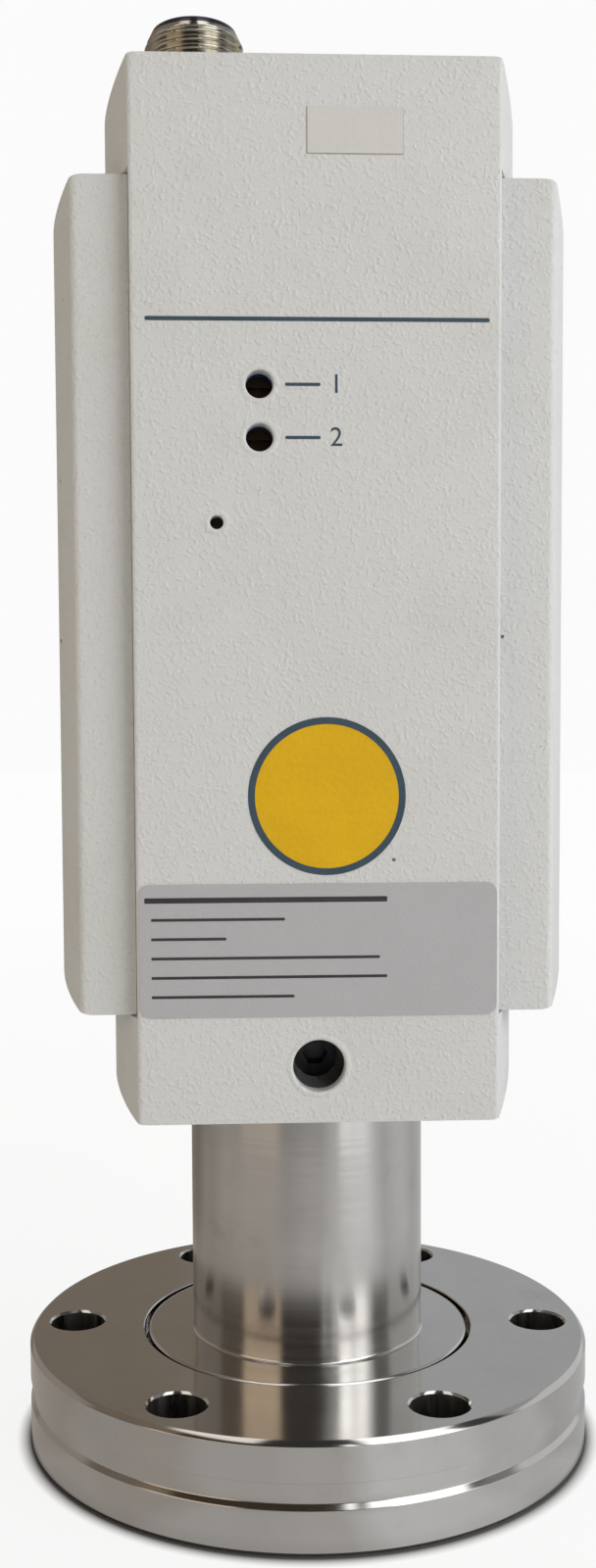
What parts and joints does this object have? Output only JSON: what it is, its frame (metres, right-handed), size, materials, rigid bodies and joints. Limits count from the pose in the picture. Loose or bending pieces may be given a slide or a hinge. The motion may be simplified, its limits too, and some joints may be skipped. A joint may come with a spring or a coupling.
{
  "type": "hot cathode ionization gauge",
  "caption": "Hot cathode ionization gauge: white electronics housing on a short steel tube with a rotatable knife-edge flange and round and D-shaped connectors on top.",
  "frame": {"origin": "centre of the flange's sealing side, on the plane of its face", "axes": "+Z along the tube towards the electronics housing, -Y out of the front panel, +X to the right of a person who faces the panel"},
  "size_m": [0.0698, 0.0698, 0.1717],
  "materials": {
    "polished_steel": "polished",
    "tube_steel": "satin",
    "bright_steel": "satin",
    "electrode_wire": "bright drawn",
    "coated_filament": "matte coated",
    "bead_glass": "clear",
    "white_paint": "fine textured",
    "plain_aluminium": "satin",
    "dark_screw": "black oxide",
    "zinc_screw": "zinc plated",
    "green_board": "varnished",
    "black_plastic": "matte",
    "ring_plastic": "matte",
    "blue_plastic": "matte",
    "button_plastic": "matte",
    "yellow_brass": "machined",
    "nickel_plate": "nickel plated",
    "seal_rubber": "matte",
    "grey_label": "printed film",
    "white_label": "matte"
  },
  "bodies": {
    "gauge": {"flange_insert": "polished_steel", "sensor_tube": "tube_steel", "retaining_wire": "bright_steel", "inlet_screen": "bright_steel", "screen_ring": "bright_steel", "header_disc": "bright_steel", "pirani_cell": "bright_steel", "anode_grid": "electrode_wire", "grid_posts": "electrode_wire", "filament_posts": "electrode_wire", "ion_collector": "electrode_wire", "pirani_element": "electrode_wire", "filament_1": "coated_filament", "filament_2": "coated_filament", "glass_beads": "bead_glass", "front_shell": "white_paint", "rear_shell": "white_paint", "left_cover": "white_paint", "right_cover": "white_paint", "base_plate": "plain_aluminium", "top_plate": "plain_aluminium", "clamp_collar": "plain_aluminium", "clamp_screw": "dark_screw", "base_screws": "zinc_screw", "housing_screws": "zinc_screw", "socket_board": "green_board", "power_board": "green_board", "main_board": "green_board", "adjust_board": "green_board", "board_link": "black_plastic", "adjust_link": "black_plastic", "sensor_link": "black_plastic", "transformer": "black_plastic", "switch_body": "black_plastic", "capacitors": "black_plastic", "m12_insert": "black_plastic", "dsub_insert": "black_plastic", "spacer_ring": "ring_plastic", "trimmer_a_body": "blue_plastic", "trimmer_b_body": "blue_plastic", "pin_sockets": "yellow_brass", "mid_spacers": "yellow_brass", "rear_spacers": "yellow_brass", "m12_pins": "yellow_brass", "dsub_pins": "yellow_brass", "m12_shell": "nickel_plate", "m12_nut": "nickel_plate", "dsub_shell": "nickel_plate", "jack_screws": "nickel_plate", "m12_seal": "seal_rubber", "rating_label": "grey_label", "marking_sticker": "white_label"},
    "flange_ring": {"flange_ring": "polished_steel"},
    "trimmer_a": {"trimmer_a_rotor": "yellow_brass"},
    "trimmer_b": {"trimmer_b_rotor": "yellow_brass"},
    "adjust_button": {"switch_button": "button_plastic"}
  },
  "joints": [
    {"name": "ring_turn", "type": "hinge", "parent": "gauge", "child": "flange_ring", "pos_m": [0, 0, 0.0063], "axis": [0, 0, 1], "continuous": true},
    {"name": "trimmer_a_turn", "type": "hinge", "parent": "gauge", "child": "trimmer_a", "pos_m": [-0.00615, -0.0211, 0.1247], "axis": [0, 1, 0], "range_deg": [-135, 135]},
    {"name": "trimmer_b_turn", "type": "hinge", "parent": "gauge", "child": "trimmer_b", "pos_m": [-0.00615, -0.0211, 0.1191], "axis": [0, 1, 0], "range_deg": [-135, 135]},
    {"name": "button_press", "type": "slide", "parent": "gauge", "child": "adjust_button", "axis": [0, 1, 0], "range_m": [0, 0.00025], "stiffness_N_per_m": 400, "springref_m": -0.0002}
  ]
}
